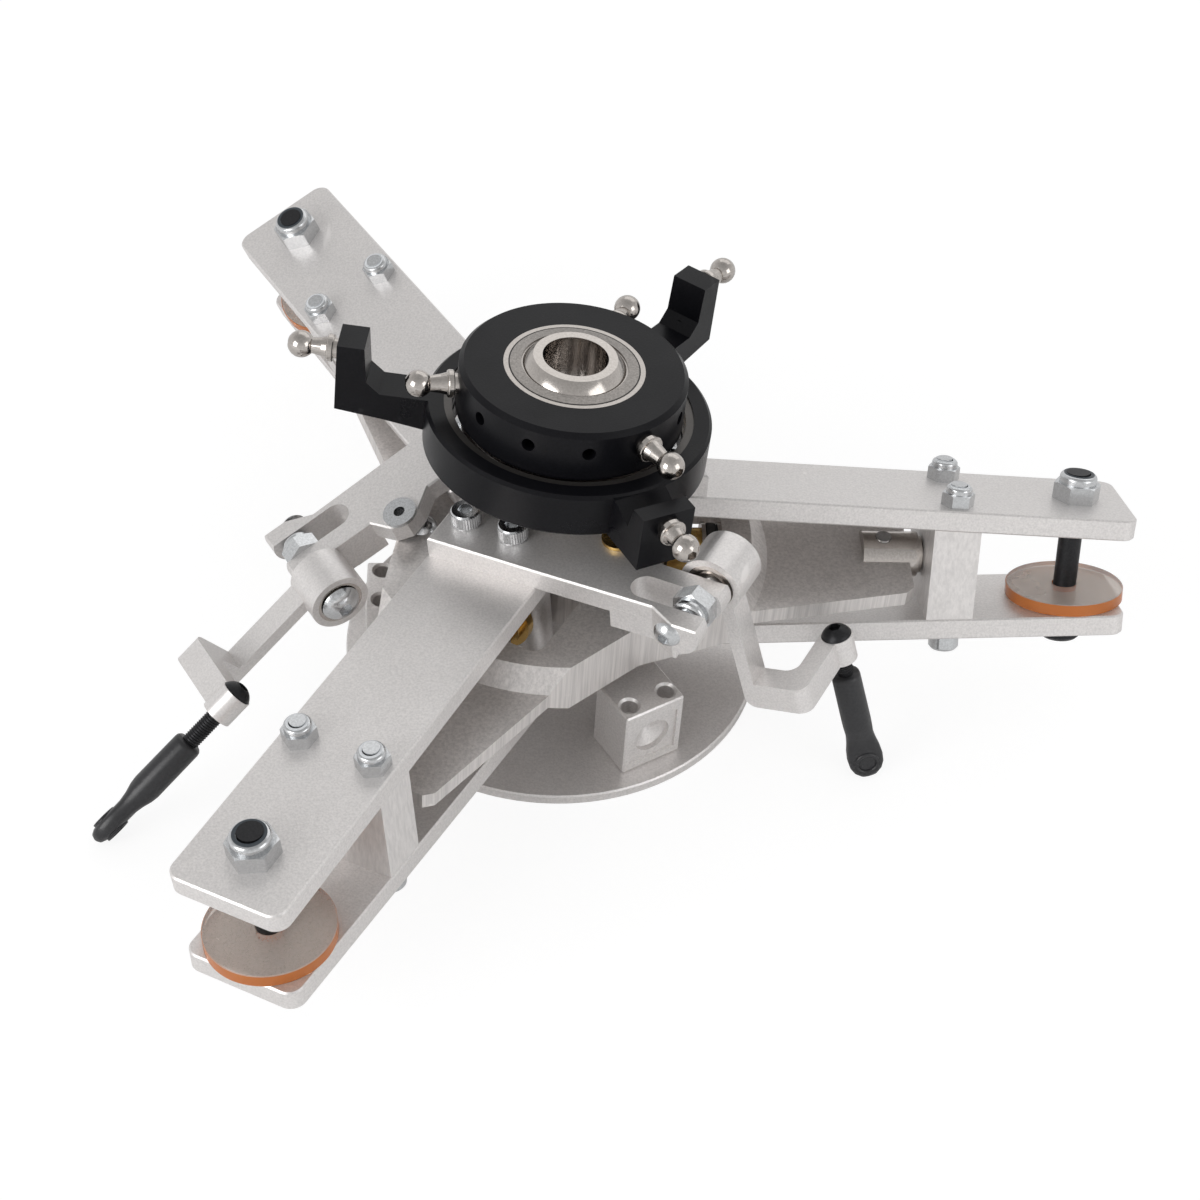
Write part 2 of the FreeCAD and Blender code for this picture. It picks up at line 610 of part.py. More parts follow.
def stud(face, ball_r, z, shank):
    # Threaded shank, collar, neck and ball, lying along X
    s = bar(1.5, face - shank, face).fuse(bar(1.9, face, face + 0.9))
    s = s.fuse(bar(2.4, face + 0.9, face + 2.1)).fuse(bar(1.3, face + 2.1, ball_r))
    s = s.fuse(Part.makeSphere(2.5, V(ball_r, 0, 0)))
    key = moved(hexagon(1.7, 0, 3), place((ball_r + 1.1, 0, 0), (0, 1, 0), 90.0))
    return moved(s.cut(key), place((0, 0, z)))


inner_stud = stud(INNER_R - 0.2, 28.0, INNER_Z, 3.0)
inner_studs = [moved(inner_stud, place((0, 0, 0), (0, 0, 1), a)) for a in INNER_ANGLES]
inner_studs = [s.cut(moved(inner, place())) for s in inner_studs]
save(moved(group(inner_studs), swash), "inner_ball_studs")

# Thin bearing between the rings
low_race = post(19.6, 0, 0, NECK_LOW, SEAT_TOP).cut(post(NECK_R + SEAT, 0, 0, 0, 40))
TRACK_R = 20.55
TRACK_Z = (RECESS_D + SEAT_TOP) / 2
track = Part.makeTorus(TRACK_R, 1.1, V(0, 0, TRACK_Z))
low_race = low_race.cut(track)
save(moved(low_race, swash), "swash_bearing_inner")
high_race = post(SEAT_R, 0, 0, RECESS_D, SEAT_TOP).cut(post(21.5, 0, 0, 0, 40)).cut(track)
save(moved(high_race, swash), "swash_bearing_outer")

# Outer ring with two long arms, one short arm and their ball studs
outer = break_rims(post(OUTER_R, 0, 0, 0, RING_H), 0.6, [0, RING_H])


def side_profile(points, half):
    ring = [V(x, -half, z) for x, z in points]
    ring.append(ring[0])
    return Part.Face(Part.makePolygon(ring)).extrude(V(0, 2 * half, 0))


LONG_OUT = 42.6
long_arm = side_profile([(22, 1.5), (34, 3.4), (LONG_OUT, 4.4), (LONG_OUT, 18.2), (37.6, 18.2),
                         (37.0, 11.0), (34.5, 8.8), (22, 8.8)], 3.6)
short_arm = side_profile([(22, 0.0), (36, 0.0), (36, 11.0), (32.6, 11.0), (31.4, 6.4), (26.5, 8.4),
                          (22, 8.4)], 5.2)
LONG_Z = SWASH_H - 3.0
SHORT_Z = SWASH_H - 10.0
studs = []
for angle, arm, face, ball_r, z in (
    (174.0, long_arm, LONG_OUT, 49.5, LONG_Z),
    (52.5, long_arm, LONG_OUT, 50.0, LONG_Z),
    (297.0, short_arm, 36.0, 42.0, SHORT_Z),
):
    turn = place((0, 0, 0), (0, 0, 1), angle)
    outer = outer.fuse(moved(arm, turn))
    outer = outer.cut(moved(bar(1.5, face - 3.2, face + 1, 0, z), turn))
    studs.append(moved(stud(face, ball_r, z, 3.0), turn))
tapped = moved(bar(1.25, 36, LONG_OUT + 1, 0, 9.0), place((0, 0, 0), (0, 0, 1), 52.5))
outer = outer.cut(tapped)
outer = outer.cut(post(RECESS_R, 0, 0, -1, 40)).cut(post(SEAT_R, 0, 0, RECESS_D, 40))
save(moved(outer, swash), "swash_outer_ring")
save(moved(group(studs), swash), "outer_ball_studs")
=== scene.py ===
from math import atan2, copysign, cos, pi, radians, sin

import bmesh
import bpy
from bpy.props import FloatProperty, FloatVectorProperty, IntProperty, PointerProperty
from mathutils import Matrix, Vector


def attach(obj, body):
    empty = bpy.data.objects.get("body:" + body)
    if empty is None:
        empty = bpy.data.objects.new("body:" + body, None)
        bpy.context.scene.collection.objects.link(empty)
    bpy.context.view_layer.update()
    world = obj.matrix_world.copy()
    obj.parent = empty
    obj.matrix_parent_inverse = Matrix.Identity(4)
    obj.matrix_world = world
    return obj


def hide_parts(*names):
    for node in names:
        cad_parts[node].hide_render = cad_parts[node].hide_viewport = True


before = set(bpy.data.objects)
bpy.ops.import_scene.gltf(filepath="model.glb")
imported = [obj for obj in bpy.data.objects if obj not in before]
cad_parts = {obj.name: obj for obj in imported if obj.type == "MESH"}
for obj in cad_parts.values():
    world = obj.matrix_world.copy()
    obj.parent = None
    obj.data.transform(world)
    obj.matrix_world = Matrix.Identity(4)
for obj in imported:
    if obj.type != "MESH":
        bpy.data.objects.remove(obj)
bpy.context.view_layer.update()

bl_info = {
    "name": "Rotor hub looks",
    "version": (1, 0, 0),
    "blender": (4, 5, 0),
    "location": "View3D > Sidebar > Rotor hub",
    "description": "Finishes, small fittings and a studio for a three-bladed rotor hub",
    "category": "Object",
}

# Lengths are in metres and angles in degrees, in the frame of the solids
MM = 0.001

# Arms and grips: x runs out along the arm, z up, from the middle of the hub at axis height
AXIS_HEIGHT = 28.0 * MM
ARM_ANGLE = {"a": 240.0, "b": 0.0, "c": 120.0}
PITCH = {"a": 6.0, "b": -21.6, "c": -22.0}
PLATE_TILT = 2.35
PLATE_INNER = 12.1 * MM
PLATE_FACE = 16.2 * MM
HORN_FACE = 20.4 * MM
SPACER_RADIUS = 75.36 * MM
SPACER_SIDE = 7.36 * MM
BLADE_RADIUS = 100.0 * MM
CAP_SPOTS = ((20.2 * MM, -6.6 * MM), (20.0 * MM, 3.2 * MM))
BUSH_SPOT = (12.9 * MM, 21.3 * MM)

# Link levers and their rods
SWING = {"a": 13.4, "b": 73.0, "c": 73.4}
LEVER_PIVOT = Vector((0.0, 40.2, 17.24)) * MM
ROD_SPOT = (-2.3 * MM, 12.6 * MM)
ROD_RADIUS = 1.5 * MM
ROD_FROM = -27.9 * MM
ROD_TO = {"a": -31.4 * MM, "b": -35.0 * MM, "c": -35.0 * MM}
LINK_TURN = 37.0

# Swashplate, and its ball studs as angle, radius of the seat, radius of the ball and height
SWASH_BASE = Vector((0.352, 0.361, 53.69)) * MM
SWASH_AXIS = Vector((0.0576, 0.0614, 0.9965)).normalized()
SWASH_TOP = 18.2 * MM
INNER_STUDS = tuple((angle, 20.7 * MM, 28.0 * MM, 14.2 * MM) for angle in (66.5, 186.5, 306.5))
OUTER_STUDS = ((174.0, 42.6 * MM, 49.5 * MM, 15.2 * MM), (52.5, 42.6 * MM, 50.0 * MM, 15.2 * MM),
               (297.0, 36.0 * MM, 42.0 * MM, 8.2 * MM))

# Steps in a full turn of a small ring, a head or neck, a bush and a wide ring
RING_STEPS = 32
HEAD_STEPS = 40
BUSH_STEPS = 48
WIDE_STEPS = 96

# Rings as inner radius, outer radius, low face and high face
SMALL_LOCK_RING = (1.52 * MM, 1.98 * MM, 3.5 * MM, 3.98 * MM)
BLADE_LOCK_RING = (2.28 * MM, 2.95 * MM, 4.6 * MM, 5.28 * MM)
BUSH_FACE = (1.15 * MM, 3.36 * MM, 0.05 * MM, 0.78 * MM)
LINK_EYE_RIM = (1.75 * MM, 2.45 * MM, -0.62 * MM, 0.62 * MM)
# The groove ring is a thin near-black sheet: painted shade of the groove between the liner and
# the race
RACE_GROOVE_SHADE = (11.75 * MM, 12.0 * MM, -0.02 * MM, 0.04 * MM)

# Outlines as radii and heights, each closed by its last side
BLADE_HEAD = ((0.1 * MM, 0.2 * MM), (4.05 * MM, 0.2 * MM), (4.05 * MM, 3.9 * MM),
              (3.5 * MM, 4.5 * MM), (2.1 * MM, 4.5 * MM), (1.9 * MM, 2.5 * MM),
              (0.1 * MM, 2.5 * MM))
SPACER_HEAD = ((0.1 * MM, 0.2 * MM), (2.9 * MM, 0.2 * MM), (2.9 * MM, 2.7 * MM),
               (2.5 * MM, 3.2 * MM), (1.4 * MM, 3.2 * MM), (1.3 * MM, 2.1 * MM),
               (0.1 * MM, 2.1 * MM))
RACE_LINER = ((9.7 * MM, -0.02 * MM), (11.75 * MM, -0.02 * MM), (11.75 * MM, 0.05 * MM),
              (9.7 * MM, 0.28 * MM))

# Knurled bands of the cap screws
CAP_RADIUS = 2.75 * MM
CAP_BAND = (0.25 * MM, 2.65 * MM)
KNURL_SEAT = 0.05 * MM

# Amber pads
PAD_RADIUS = 11.4 * MM
PAD_THICK = 2.5 * MM
PAD_HOLE = 2.4 * MM
PAD_BEVEL = 0.15 * MM
PAD_GAP = 0.02 * MM

# Flared necks of the ball studs: a flange from the seat, as radii and rises, then a taper
NECK_START = 0.95 * MM
NECK_BORE = 1.2 * MM
NECK_FLANGE = ((NECK_BORE, 0.0), (2.45 * MM, 0.0), (2.55 * MM, 0.15 * MM),
               (2.55 * MM, 0.95 * MM), (2.45 * MM, 1.10 * MM), (2.05 * MM, 1.25 * MM))
NECK_WAIST = 1.75 * MM
NECK_WAIST_SHARE = 0.55
NECK_TOP = 1.45 * MM
BALL_CLEAR = 2.0 * MM

# Moulded ball links, in millimetres: height from the rod's end, half width, half depth, and
# a power that is 1 for an oval and lower for a squarer section
LINK_SECTIONS = ((0.0, 2.35, 2.35, 1.0), (-0.35, 2.65, 2.65, 1.0), (-0.9, 2.75, 2.75, 1.0),
                 (-11.5, 2.80, 2.80, 1.0), (-13.0, 2.60, 2.75, 0.9), (-14.8, 2.10, 2.65, 0.8),
                 (-16.6, 1.80, 2.85, 0.7), (-18.6, 1.75, 3.25, 0.6), (-20.6, 1.75, 3.45, 0.6),
                 (-22.4, 1.70, 3.30, 0.6), (-23.8, 1.55, 2.75, 0.7), (-24.8, 1.20, 1.85, 0.8),
                 (-25.3, 0.60, 0.90, 1.0))
LINK_STEPS = 36
LINK_EYE_SIDE = 1.35 * MM
LINK_EYE_HEIGHT = -21.3 * MM

# Thread of the link rods
THREAD_STEPS = 24
THREAD_SHARE = 0.42
THREAD_ROOT = 0.1 * MM

# Noise scales of the finishes that don't follow the grain size, and the share of one that does
FINE_GRAIN = 2400.0
ANODISED_GRAIN = 2600.0
MOULDED_GRAIN = 1800.0
BRUSH_GRAIN = 1700.0
LATHE_GRAIN = 1500.0
DRAWN_SHARE = 0.6

# How a finish's colour rises in its light patches and in its scratches
LIGHT_SHARE = 0.6
SCRATCH_GAIN = 1.12
SCRATCH_LIFT = 0.01
LEAST_ROUGH = 0.02

# The camera of the photograph
CAMERA_PLACE = Vector((-16.716, -324.342, 334.472)) * MM
CAMERA_RIGHT = Vector((0.9982, -0.0256, 0.0544))
CAMERA_UP = Vector((-0.0207, 0.7034, 0.7104))
CAMERA_TURN = -0.4
CAMERA_LENS = 69.39

# Lamps as place, width and depth, and watts
LAMPS = {
    "key": ((-0.80, -0.60, 0.45), (0.6, 0.6), 4.8),
    "fill": ((0.70, -0.50, 0.40), (0.5, 0.5), 1.3),
    "back": ((0.35, 0.90, 0.90), (1.5, 0.9), 2.4),
}
LAMP_TARGET = Vector((0.0, 0.0, 0.03))
FLOOR_REACH = 3.0
FLOOR_GLOW = 1.08
FLOOR_GLOW_SHARE = 0.80
ROOM_LOW = 0.86
ROOM_HIGH = 0.46


class HubFinish(bpy.types.PropertyGroup):
    """Colours of the hub's metals and plastics."""

    satin: FloatVectorProperty(
        name="Satin aluminium", description="Blasted plates, horns and levers",
        default=(0.76, 0.735, 0.722), size=3, subtype="COLOR", min=0, max=1)
    brushed: FloatVectorProperty(
        name="Brushed aluminium", description="Star plate and boss plates",
        default=(0.74, 0.708, 0.69), size=3, subtype="COLOR", min=0, max=1)
    steel: FloatVectorProperty(
        name="Bright steel", description="Balls, races, pivots and bearings",
        default=(0.52, 0.485, 0.455), size=3, subtype="COLOR", min=0, max=1)
    zinc: FloatVectorProperty(
        name="Zinc", description="Plated screws and lock nuts",
        default=(0.62, 0.63, 0.64), size=3, subtype="COLOR", min=0, max=1)
    black: FloatVectorProperty(
        name="Black anodised", description="The two rings of the swashplate",
        default=(0.005, 0.005, 0.0065), size=3, subtype="COLOR", min=0, max=1)
    oxide: FloatVectorProperty(
        name="Black oxide", description="Blade bolts and link rods",
        default=(0.022, 0.022, 0.024), size=3, subtype="COLOR", min=0, max=1)
    plastic: FloatVectorProperty(
        name="Black plastic", description="Moulded ball links",
        default=(0.020, 0.020, 0.022), size=3, subtype="COLOR", min=0, max=1)
    rubber: FloatVectorProperty(
        name="Rubber", description="Damper rings",
        default=(0.015, 0.015, 0.015), size=3, subtype="COLOR", min=0, max=1)
    brass: FloatVectorProperty(
        name="Brass", description="Thrust bearings and horn bushes",
        default=(0.72, 0.48, 0.17), size=3, subtype="COLOR", min=0, max=1)
    amber: FloatVectorProperty(
        name="Amber", description="Clear pads at the blade bolts",
        default=(0.60, 0.19, 0.05), size=3, subtype="COLOR", min=0, max=1)
    nylon: FloatVectorProperty(
        name="Nylon", description="Locking rings of the small nuts",
        default=(0.72, 0.74, 0.76), size=3, subtype="COLOR", min=0, max=1)
    dark_nylon: FloatVectorProperty(
        name="Dark nylon", description="Locking rings of the blade nuts",
        default=(0.035, 0.045, 0.055), size=3, subtype="COLOR", min=0, max=1)


class HubSizes(bpy.types.PropertyGroup):
    """Sizes of the small fittings."""

    knurl_count: IntProperty(
        name="Knurl ridges", description="Ridges round each cap head", default=36, min=12, max=80)
    knurl_depth: FloatProperty(
        name="Knurl depth", description="Height of each ridge", default=0.12 * MM,
        min=0, unit="LENGTH")
    thread_pitch: FloatProperty(
        name="Thread pitch", description="Rise of the link rod's thread in a turn",
        default=0.5 * MM, min=0.0001, unit="LENGTH")
    thread_depth: FloatProperty(
        name="Thread depth", description="Height of the thread's crest over the rod",
        default=0.16 * MM, min=0, unit="LENGTH")
    grain_size: FloatProperty(
        name="Grain size", description="Size of the blasted grain", default=0.42 * MM,
        min=0.00001, unit="LENGTH")


# Places on the moving bodies


def turn(degrees, axis):
    return Matrix.Rotation(radians(degrees), 4, axis)


def grip_frame(arm):
    """The middle of the hub, turned to an arm and to its grip's pitch."""
    hub = Matrix.Translation((0, 0, AXIS_HEIGHT)) @ turn(ARM_ANGLE[arm], "Z")
    return hub @ turn(PITCH[arm], "X")


def lever_frame(arm):
    """The pivot of a link lever, swung as it hangs."""
    return grip_frame(arm) @ Matrix.Translation(LEVER_PIVOT) @ turn(SWING[arm], "X")


def swash_frame():
    """The foot of the swashplate, with z along its leaning axis."""
    across = Vector((1, 0, 0)) - SWASH_AXIS * SWASH_AXIS.x
    across.normalize()
    axes = Matrix((across, SWASH_AXIS.cross(across), SWASH_AXIS)).transposed().to_4x4()
    return Matrix.Translation(SWASH_BASE) @ axes


def along_plate(x, height):
    """The way along a tilted plate to a spot that is x out along the arm."""
    return (x - height * sin(radians(PLATE_TILT))) / cos(radians(PLATE_TILT))


def on_plate(arm, x, y, height):
    """A spot over the top plate, with z away from the plate."""
    tilted = grip_frame(arm) @ turn(PLATE_TILT, "Y")
    return tilted @ Matrix.Translation((along_plate(x, height), y, height))


def under_plate(arm, x, y, height):
    """A spot under the low plate, with z away from the plate."""
    tilted = grip_frame(arm) @ turn(-PLATE_TILT, "Y")
    return tilted @ Matrix.Translation((along_plate(x, height), y, -height)) @ turn(180, "X")


# Shader groups


def shader_group(name, inputs, outputs):
    tree = bpy.data.node_groups.new(name, "ShaderNodeTree")
    for label, kind, value in inputs:
        socket = tree.interface.new_socket(label, in_out="INPUT", socket_type=kind)
        socket.default_value = value
    for label, kind in outputs:
        tree.interface.new_socket(label, in_out="OUTPUT", socket_type=kind)
    return tree, tree.nodes.new("NodeGroupInput"), tree.nodes.new("NodeGroupOutput")


def grain_group():
    """Fine grain that can be drawn out into brush lines."""
    if "metal_grain" in bpy.data.node_groups:
        return bpy.data.node_groups["metal_grain"]
    tree, given, result = shader_group(
        "metal_grain",
        [("Scale", "NodeSocketFloat", FINE_GRAIN),
         ("Stretch", "NodeSocketVector", (1.0, 1.0, 1.0)), ("Height", "NodeSocketFloat", 0.2)],
        [("Value", "NodeSocketFloat"), ("Normal", "NodeSocketVector")])
    nodes, links = tree.nodes, tree.links
    coordinates = nodes.new("ShaderNodeTexCoord")
    mapping = nodes.new("ShaderNodeMapping")
    links.new(coordinates.outputs["Object"], mapping.inputs["Vector"])
    links.new(given.outputs["Stretch"], mapping.inputs["Scale"])
    noise = nodes.new("ShaderNodeTexNoise")
    noise.inputs["Detail"].default_value = 3.0
    noise.inputs["Roughness"].default_value = 0.65
    links.new(mapping.outputs["Vector"], noise.inputs["Vector"])
    links.new(given.outputs["Scale"], noise.inputs["Scale"])
    bump = nodes.new("ShaderNodeBump")
    bump.inputs["Distance"].default_value = 0.00008
    links.new(noise.outputs["Fac"], bump.inputs["Height"])
    links.new(given.outputs["Height"], bump.inputs["Strength"])
    links.new(bump.outputs["Normal"], result.inputs["Normal"])
    contrast = nodes.new("ShaderNodeMapRange")
    contrast.inputs["From Min"].default_value = 0.34
    contrast.inputs["From Max"].default_value = 0.66
    links.new(noise.outputs["Fac"], contrast.inputs["Value"])
    links.new(contrast.outputs["Result"], result.inputs["Value"])
    return tree


def handling_group():
    """Broad soft patches and a few fine scratches left by handling."""
    if "handling_marks" in bpy.data.node_groups:
        return bpy.data.node_groups["handling_marks"]
    tree, given, result = shader_group(
        "handling_marks",
        [("Patch Scale", "NodeSocketFloat", 90.0), ("Scratch Scale", "NodeSocketFloat", 260.0)],
        [("Patches", "NodeSocketFloat"), ("Scratches", "NodeSocketFloat")])
    nodes, links = tree.nodes, tree.links
    coordinates = nodes.new("ShaderNodeTexCoord")
    patches = nodes.new("ShaderNodeTexNoise")
    patches.inputs["Detail"].default_value = 4.0
    links.new(coordinates.outputs["Object"], patches.inputs["Vector"])
    links.new(given.outputs["Patch Scale"], patches.inputs["Scale"])
    spread = nodes.new("ShaderNodeMapRange")
    spread.inputs["From Min"].default_value = 0.35
    spread.inputs["From Max"].default_value = 0.70
    links.new(patches.outputs["Fac"], spread.inputs["Value"])
    links.new(spread.outputs["Result"], result.inputs["Patches"])
    drawn = nodes.new("ShaderNodeMapping")
    drawn.inputs["Scale"].default_value = (1.0, 0.05, 1.0)
    drawn.inputs["Rotation"].default_value = (0.3, 0.5, 0.7)
    links.new(coordinates.outputs["Object"], drawn.inputs["Vector"])
    lines = nodes.new("ShaderNodeTexNoise")
    lines.inputs["Detail"].default_value = 2.0
    links.new(drawn.outputs["Vector"], lines.inputs["Vector"])
    links.new(given.outputs["Scratch Scale"], lines.inputs["Scale"])
    thin = nodes.new("ShaderNodeMapRange")
    thin.inputs["From Min"].default_value = 0.70
    thin.inputs["From Max"].default_value = 0.76
    links.new(lines.outputs["Fac"], thin.inputs["Value"])
    links.new(thin.outputs["Result"], result.inputs["Scratches"])
    return tree


# Finishes


def shade(colour, gain, lift=0.0):
    """A colour made lighter or darker, kept within white."""
    return (*[min(1.0, channel * gain + lift) for channel in colour], 1)


def finish(name, colour, metallic, rough, grain=0.2, scale=FINE_GRAIN, stretch=(1, 1, 1),
           mottle=0.10, rough_spread=0.10, gloss=0.5):
    """A material with its own colour, grain and handling marks."""
    name = "hub_" + name
    if name in bpy.data.materials:
        return bpy.data.materials[name]
    material = bpy.data.materials.new(name)
    material.use_nodes = True
    nodes, links = material.node_tree.nodes, material.node_tree.links
    surface = nodes["Principled BSDF"]
    surface.inputs["Metallic"].default_value = metallic
    surface.inputs["Specular IOR Level"].default_value = gloss
    grains = nodes.new("ShaderNodeGroup")
    grains.node_tree = grain_group()
    grains.inputs["Scale"].default_value = scale
    grains.inputs["Stretch"].default_value = stretch
    grains.inputs["Height"].default_value = grain
    links.new(grains.outputs["Normal"], surface.inputs["Normal"])
    marks = nodes.new("ShaderNodeGroup")
    marks.node_tree = handling_group()
    tint = nodes.new("ShaderNodeMix")
    tint.data_type = "RGBA"
    tint.inputs["A"].default_value = shade(colour, 1 - mottle)
    tint.inputs["B"].default_value = shade(colour, 1 + mottle * LIGHT_SHARE)
    links.new(grains.outputs["Value"], tint.inputs["Factor"])
    worn = nodes.new("ShaderNodeMix")
    worn.data_type = "RGBA"
    worn.inputs["B"].default_value = shade(colour, SCRATCH_GAIN, SCRATCH_LIFT)
    links.new(tint.outputs["Result"], worn.inputs["A"])
    links.new(marks.outputs["Scratches"], worn.inputs["Factor"])
    links.new(worn.outputs["Result"], surface.inputs["Base Color"])
    roughness = nodes.new("ShaderNodeMapRange")
    roughness.inputs["To Min"].default_value = max(LEAST_ROUGH, rough - rough_spread / 2)
    roughness.inputs["To Max"].default_value = rough + rough_spread / 2
    links.new(marks.outputs["Patches"], roughness.inputs["Value"])
    links.new(roughness.outputs["Result"], surface.inputs["Roughness"])
    return material


def bright_steel(look):
    return finish("bright_steel", look.steel, 1.0, 0.17, grain=0.04, rough_spread=0.08)


def zinc_plate(look):
    return finish("zinc_plate", look.zinc, 1.0, 0.26, grain=0.08, mottle=0.12)


def black_oxide(look):
    return finish("black_oxide", look.oxide, 0.6, 0.42, mottle=0.25)


def turned_brass(look):
    return finish("turned_brass", look.brass, 1.0, 0.26, scale=LATHE_GRAIN)


def clear_amber(look):
    """Frosted clear faces with the amber gathered in the rim: the amber is the pads' own tint,
    and its gathering in the rim is painted, for the deeper tint seen through the edge.
    """
    material = finish("clear_amber", (0.90, 0.84, 0.79), 0.0, 0.24, grain=0.05)
    nodes, links = material.node_tree.nodes, material.node_tree.links
    surface = nodes["Principled BSDF"]
    surface.inputs["IOR"].default_value = 1.30
    frosted = surface.inputs["Base Color"].links[0].from_socket
    coordinates = nodes.new("ShaderNodeTexCoord")
    split = nodes.new("ShaderNodeSeparateXYZ")
    links.new(coordinates.outputs["Normal"], split.inputs["Vector"])
    upright = nodes.new("ShaderNodeMath")
    upright.operation = "ABSOLUTE"
    links.new(split.outputs["Z"], upright.inputs[0])
    # Side faces get the amber and upright faces the pale colour: painted colour for the tint seen
    # through the pad's edge
    face = nodes.new("ShaderNodeMapRange")
    face.inputs["From Min"].default_value = 0.60
    face.inputs["From Max"].default_value = 0.85
    links.new(upright.outputs[0], face.inputs["Value"])
    blend = nodes.new("ShaderNodeMix")
    blend.data_type = "RGBA"
    blend.inputs["A"].default_value = (*look.amber, 1)
    links.new(frosted, blend.inputs["B"])
    links.new(face.outputs["Result"], blend.inputs["Factor"])
    links.new(blend.outputs["Result"], surface.inputs["Base Color"])
    clear = nodes.new("ShaderNodeMapRange")
    clear.inputs["To Min"].default_value = 0.35
    clear.inputs["To Max"].default_value = 0.72
    links.new(face.outputs["Result"], clear.inputs["Value"])
    links.new(clear.outputs["Result"], surface.inputs["Transmission Weight"])
    return material


# Finishes of the solids


def per_arm(*stems):
    return [stem + "_" + arm for stem in stems for arm in "abc"]


def set_finish(material, *nodes):
    for node in nodes:
        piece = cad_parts[node]
        piece.data.materials.clear()
        piece.data.materials.append(material)


class HUB_OT_aluminium(bpy.types.Operator):
    """Gives the aluminium pieces their satin and brushed finishes"""

    bl_idname = "hub.aluminium"
    bl_label = "Aluminium"

    def execute(self, context):
        look = context.scene.hub_finish
        scale = 1.0 / context.scene.hub_sizes.grain_size
        satin = finish("satin_aluminium", look.satin, 0.72, 0.44, grain=0.45, scale=scale,
                       mottle=0.11)
        lathe = finish("turned_aluminium", look.satin, 0.72, 0.38, grain=0.14, scale=scale,
                       rough_spread=0.06)
        drawn = finish("drawn_aluminium", look.satin, 0.64, 0.48, grain=0.26,
                       scale=scale * DRAWN_SHARE, stretch=(1, 1, 0.2))
        brushed = finish("brushed_aluminium", look.brushed, 0.74, 0.40, grain=0.34,
                         scale=BRUSH_GRAIN, stretch=(1.0, 1.0, 0.03), mottle=0.16)
        set_finish(satin, "base_disc", "hub_blocks", "hub_column")
        set_finish(satin, *per_arm("grip_top_plate", "grip_bottom_plate", "inner_block",
                                   "pitch_horn"))
        set_finish(lathe, *per_arm("link_lever"))
        set_finish(drawn, *per_arm("spacer_block"))
        set_finish(brushed, "star_plate", "boss_plates")
        return {"FINISHED"}


class HUB_OT_steel(bpy.types.Operator):
    """Gives the bright, plated, blackened and brass pieces their finishes, and darkens the outer
    bearing with painted shade
    """

    bl_idname = "hub.steel"
    bl_label = "Steel and brass"

    def execute(self, context):
        look = context.scene.hub_finish
        race = finish("ground_steel", look.steel, 0.9, 0.36, grain=0.20, stretch=(1, 1, 0.1))
        # Steel at 0.18 of its colour for the outer bearing: painted shade of the gap between the
        # swashplate's rings
        painted_shade = finish("painted_shade_steel", shade(look.steel, 0.18)[:3], 0.7, 0.34)
        set_finish(bright_steel(look), "outer_pivots", "spindles", "swash_bearing_inner",
                   "outer_ball_studs", "inner_ball_studs", "swash_ball",
                   *per_arm("lever_bearings"))
        set_finish(painted_shade, "swash_bearing_outer")
        set_finish(race, "swash_race")
        set_finish(zinc_plate(look), "hub_screws",
                   *per_arm("grip_screws", "grip_nuts", "lever_screw"))
        set_finish(black_oxide(look), *per_arm("blade_bolt", "link_rod"))
        set_finish(turned_brass(look), "thrust_bearings")
        return {"FINISHED"}


class HUB_OT_dark(bpy.types.Operator):
    """Gives the anodised rings and the rubber dampers their finishes"""

    bl_idname = "hub.dark"
    bl_label = "Black finishes"

    def execute(self, context):
        look = context.scene.hub_finish
        black = finish("black_anodised", look.black, 0.0, 0.32, grain=0.22,
                       scale=ANODISED_GRAIN, mottle=0.30, gloss=0.16)
        rubber = finish("damper_rubber", look.rubber, 0.0, 0.55, mottle=0.25)
        set_finish(black, "swash_outer_ring", "swash_inner_ring")
        set_finish(rubber, "dampers")
        return {"FINISHED"}


# New small pieces


def add_piece(name, mesh, body, material):
    """Puts a finished mesh in the scene, on the body that carries it."""
    data = bpy.data.meshes.new(name)
    bmesh.ops.recalc_face_normals(mesh, faces=mesh.faces[:])
    mesh.to_mesh(data)
    mesh.free()
    piece = bpy.data.objects.new(name, data)
    bpy.context.collection.objects.link(piece)
    piece.data.materials.append(material)
    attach(piece, body)
    return piece


def turned(mesh, points, place, steps=HEAD_STEPS):
    """A closed outline of radii and heights, turned round its own axis."""
    before = set(mesh.verts)
    section = [mesh.verts.new((r, 0, z)) for r, z in points]
    edges = [mesh.edges.new((section[i - 1], section[i])) for i in range(len(section))]
    bmesh.ops.spin(mesh, geom=section + edges, cent=(0, 0, 0), axis=(0, 0, 1), dvec=(0, 0, 0),
                   angle=2 * pi, steps=steps, use_merge=True, use_duplicate=False)
    fresh = [v for v in mesh.verts if v not in before]
    bmesh.ops.remove_doubles(mesh, verts=fresh, dist=0.000001)
    fresh = [v for v in mesh.verts if v not in before]
    bmesh.ops.transform(mesh, matrix=place, verts=fresh)
    return fresh


def ring(mesh, sizes, place, steps=RING_STEPS):
    """A flat washer shape, turned round its own axis."""
    inner, outer, low, high = sizes
    return turned(mesh, ((inner, low), (outer, low), (outer, high), (inner, high)), place, steps)


def knurled(mesh, count, depth, place):
    """A band whose outer wall stands out in upright ridges."""
    band = ring(mesh, (CAP_RADIUS - KNURL_SEAT, CAP_RADIUS, *CAP_BAND), Matrix(), 2 * count)
    for vert in band:
        x, y, z = vert.co
        step = round(atan2(y, x) / (pi / count))
        if step % 2 and vert.co.xy.length > CAP_RADIUS - KNURL_SEAT / 2:
            crest = 1 + depth / CAP_RADIUS
            vert.co = (x * crest, y * crest, z)
    bmesh.ops.transform(mesh, matrix=place, verts=band)


